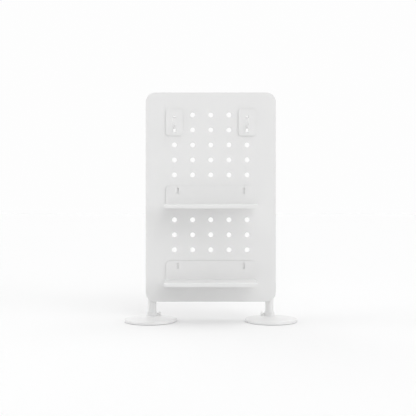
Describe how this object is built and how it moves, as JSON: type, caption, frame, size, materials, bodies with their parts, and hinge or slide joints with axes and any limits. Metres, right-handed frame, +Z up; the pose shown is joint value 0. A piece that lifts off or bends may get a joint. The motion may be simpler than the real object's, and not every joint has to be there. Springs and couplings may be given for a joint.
{
  "type": "pegboard tool wall",
  "caption": "Free-standing white steel pegboard on round swivelling feet, with lift-off shelves and peg hooks for small tools.",
  "frame": {"origin": "on the floor, under the middle of the wall's bounding box", "axes": "+Z up, the perforated front faces -Y, +X to the right as seen from the front"},
  "size_m": [0.391, 0.1225, 0.524],
  "materials": {
    "panel_paint": "fine matt powder coat",
    "post_paint": "fine matt powder coat",
    "foot_paint": "fine matt powder coat",
    "shelf_paint": "fine matt powder coat",
    "hook_paint": "fine matt powder coat",
    "pad_rubber": "matt pale grey rubber",
    "cap_plastic": "moulded white plastic",
    "knob_plastic": "moulded white plastic",
    "saddle_plastic": "moulded white plastic",
    "screw_steel": "zinc-plated steel",
    "fixing_steel": "zinc-plated steel",
    "nut_chrome": "nickel-plated steel"
  },
  "bodies": {
    "stand": {"panel": "panel_paint", "left_post": "post_paint", "right_post": "post_paint", "left_post_cap": "cap_plastic", "right_post_cap": "cap_plastic", "panel_studs": "fixing_steel", "post_saddles": "saddle_plastic", "curved_washers": "fixing_steel", "cap_nuts": "nut_chrome"},
    "upper_shelf": {"upper_shelf": "shelf_paint"},
    "lower_shelf": {"lower_shelf": "shelf_paint"},
    "left_foot": {"left_foot_disc": "foot_paint", "left_foot_pad": "pad_rubber", "left_foot_socket": "foot_paint"},
    "left_thumb": {"left_thumb_screw": "screw_steel", "left_thumb_knob": "knob_plastic"},
    "left_hook": {"left_hook_plate": "hook_paint", "left_hook_arm": "hook_paint"},
    "right_foot": {"right_foot_disc": "foot_paint", "right_foot_pad": "pad_rubber", "right_foot_socket": "foot_paint"},
    "right_thumb": {"right_thumb_screw": "screw_steel", "right_thumb_knob": "knob_plastic"},
    "right_hook": {"right_hook_plate": "hook_paint", "right_hook_arm": "hook_paint"}
  },
  "joints": [
    {"name": "left_foot_swivel", "type": "hinge", "parent": "stand", "child": "left_foot", "pos_m": [-0.1365, 0.04225, 0.006], "axis": [0, 0, 1], "continuous": true},
    {"name": "left_thumb_turn", "type": "hinge", "parent": "left_foot", "child": "left_thumb", "pos_m": [-0.12125, 0.04225, 0.011], "axis": [1, 0, 0], "range_deg": [0, 360]},
    {"name": "left_hook_lift", "type": "slide", "parent": "stand", "child": "left_hook", "axis": [0, 0, 1], "range_m": [0, 0.0033]},
    {"name": "right_foot_swivel", "type": "hinge", "parent": "stand", "child": "right_foot", "pos_m": [0.1365, 0.04225, 0.006], "axis": [0, 0, 1], "continuous": true},
    {"name": "right_thumb_turn", "type": "hinge", "parent": "right_foot", "child": "right_thumb", "pos_m": [0.12125, 0.04225, 0.011], "axis": [-1, 0, 0], "range_deg": [0, 360]},
    {"name": "right_hook_lift", "type": "slide", "parent": "stand", "child": "right_hook", "axis": [0, 0, 1], "range_m": [0, 0.0033]},
    {"name": "upper_shelf_lift", "type": "slide", "parent": "stand", "child": "upper_shelf", "axis": [0, 0, 1], "range_m": [0, 0.0033]},
    {"name": "lower_shelf_lift", "type": "slide", "parent": "stand", "child": "lower_shelf", "axis": [0, 0, 1], "range_m": [0, 0.0033]}
  ]
}
